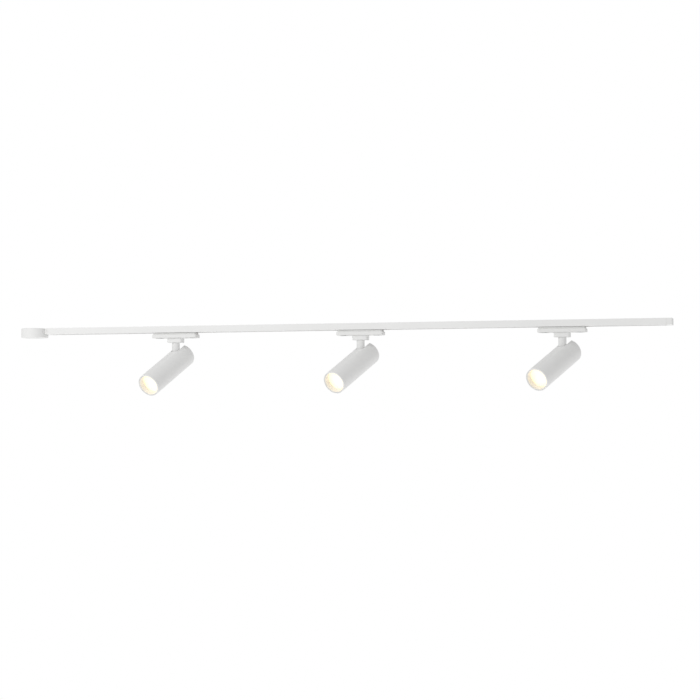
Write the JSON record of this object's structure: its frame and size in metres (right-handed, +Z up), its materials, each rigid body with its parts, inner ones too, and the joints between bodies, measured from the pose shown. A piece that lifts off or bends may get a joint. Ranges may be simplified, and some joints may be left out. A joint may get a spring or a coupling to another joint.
{
  "type": "track lighting fixture",
  "caption": "Ceiling track light: a straight rectangular track with a round feed canopy at one end, carrying sliding cylindrical spot heads that pan and tilt.",
  "frame": {"origin": "on the ceiling plane, on the top face of the track profile, at its mid-length and mid-width", "axes": "+X along the track away from the feed canopy, +Z up towards the ceiling; everything hangs below z = 0"},
  "size_m": [1.573, 0.1607, 0.1677],
  "materials": {
    "white_paint": "satin powder coat",
    "white_plastic": "matt moulded",
    "grey_plastic": "matt moulded",
    "black_plastic": "matt moulded",
    "copper": "bright drawn copper",
    "steel": "zinc plated",
    "aluminium": "bare, turned",
    "phosphor": "phosphor coating over the light source",
    "reflector": "bright satin",
    "lens": "frosted"
  },
  "bodies": {
    "root": {"track_profile": "white_paint", "insulator_front": "grey_plastic", "insulator_back": "grey_plastic", "conductor_live": "copper", "conductor_neutral": "copper", "end_cap": "white_plastic", "feed_connector": "white_plastic", "canopy_cover": "white_paint", "canopy_plate": "steel", "canopy_screw": "steel", "terminal_block": "white_plastic", "cable_bush": "black_plastic"},
    "adapter_1": {"adapter_housing_1": "white_plastic", "swivel_base_1": "white_plastic"},
    "lock_1": {"lock_lever_1": "grey_plastic"},
    "contacts_1": {"contact_rotor_1": "grey_plastic", "contact_live_1": "copper", "contact_neutral_1": "copper"},
    "pan_arm_1": {"stem_1": "white_paint"},
    "spot_1": {"body_tube_1": "white_paint", "yoke_1": "white_paint", "tilt_pin_1": "steel", "heat_sink_1": "aluminium", "driver_1": "black_plastic", "led_module_1": "phosphor", "reflector_1": "reflector", "lens_1": "lens", "front_ring_1": "white_plastic"},
    "adapter_2": {"adapter_housing_2": "white_plastic", "swivel_base_2": "white_plastic"},
    "lock_2": {"lock_lever_2": "grey_plastic"},
    "contacts_2": {"contact_rotor_2": "grey_plastic", "contact_live_2": "copper", "contact_neutral_2": "copper"},
    "pan_arm_2": {"stem_2": "white_paint"},
    "spot_2": {"body_tube_2": "white_paint", "yoke_2": "white_paint", "tilt_pin_2": "steel", "heat_sink_2": "aluminium", "driver_2": "black_plastic", "led_module_2": "phosphor", "reflector_2": "reflector", "lens_2": "lens", "front_ring_2": "white_plastic"},
    "adapter_3": {"adapter_housing_3": "white_plastic", "swivel_base_3": "white_plastic"},
    "lock_3": {"lock_lever_3": "grey_plastic"},
    "contacts_3": {"contact_rotor_3": "grey_plastic", "contact_live_3": "copper", "contact_neutral_3": "copper"},
    "pan_arm_3": {"stem_3": "white_paint"},
    "spot_3": {"body_tube_3": "white_paint", "yoke_3": "white_paint", "tilt_pin_3": "steel", "heat_sink_3": "aluminium", "driver_3": "black_plastic", "led_module_3": "phosphor", "reflector_3": "reflector", "lens_3": "lens", "front_ring_3": "white_plastic"}
  },
  "joints": [
    {"name": "adapter_slide_1", "type": "slide", "parent": "root", "child": "adapter_1", "axis": [1, 0, 0], "range_m": [-0.246, 0.105]},
    {"name": "lock_turn_1", "type": "hinge", "parent": "adapter_1", "child": "lock_1", "pos_m": [-0.46, 0, -0.0281], "axis": [0, 0, 1], "range_deg": [0, 90]},
    {"name": "contact_turn_1", "type": "hinge", "parent": "adapter_1", "child": "contacts_1", "pos_m": [-0.38, 0, -0.0281], "axis": [0, 0, 1], "range_deg": [0, 90]},
    {"name": "pan_1", "type": "hinge", "parent": "adapter_1", "child": "pan_arm_1", "pos_m": [-0.42, 0, -0.0388], "axis": [0, 0, 1], "range_deg": [-157.1, 192.9]},
    {"name": "tilt_1", "type": "hinge", "parent": "pan_arm_1", "child": "spot_1", "pos_m": [-0.42, 0, -0.08541], "axis": [0.9516, -0.3074, 0], "range_deg": [-5.5, 60.5]},
    {"name": "adapter_slide_2", "type": "slide", "parent": "root", "child": "adapter_2", "axis": [1, 0, 0], "range_m": [-0.105, 0.113]},
    {"name": "lock_turn_2", "type": "hinge", "parent": "adapter_2", "child": "lock_2", "pos_m": [-0.004, 0, -0.0281], "axis": [0, 0, 1], "range_deg": [0, 90]},
    {"name": "contact_turn_2", "type": "hinge", "parent": "adapter_2", "child": "contacts_2", "pos_m": [0.076, 0, -0.0281], "axis": [0, 0, 1], "range_deg": [0, 90]},
    {"name": "pan_2", "type": "hinge", "parent": "adapter_2", "child": "pan_arm_2", "pos_m": [0.036, 0, -0.0388], "axis": [0, 0, 1], "range_deg": [-154.1, 195.9]},
    {"name": "tilt_2", "type": "hinge", "parent": "pan_arm_2", "child": "spot_2", "pos_m": [0.036, 0, -0.08541], "axis": [0.9342, -0.3567, 0], "range_deg": [-3.9, 62.1]},
    {"name": "adapter_slide_3", "type": "slide", "parent": "root", "child": "adapter_3", "axis": [1, 0, 0], "range_m": [-0.113, 0.162]},
    {"name": "lock_turn_3", "type": "hinge", "parent": "adapter_3", "child": "lock_3", "pos_m": [0.468, 0, -0.0281], "axis": [0, 0, 1], "range_deg": [0, 90]},
    {"name": "contact_turn_3", "type": "hinge", "parent": "adapter_3", "child": "contacts_3", "pos_m": [0.548, 0, -0.0281], "axis": [0, 0, 1], "range_deg": [0, 90]},
    {"name": "pan_3", "type": "hinge", "parent": "adapter_3", "child": "pan_arm_3", "pos_m": [0.508, 0, -0.0388], "axis": [0, 0, 1], "range_deg": [-151.3, 198.7]},
    {"name": "tilt_3", "type": "hinge", "parent": "pan_arm_3", "child": "spot_3", "pos_m": [0.508, 0, -0.08541], "axis": [0.9157, -0.4019, 0], "range_deg": [-2.4, 63.6]}
  ]
}
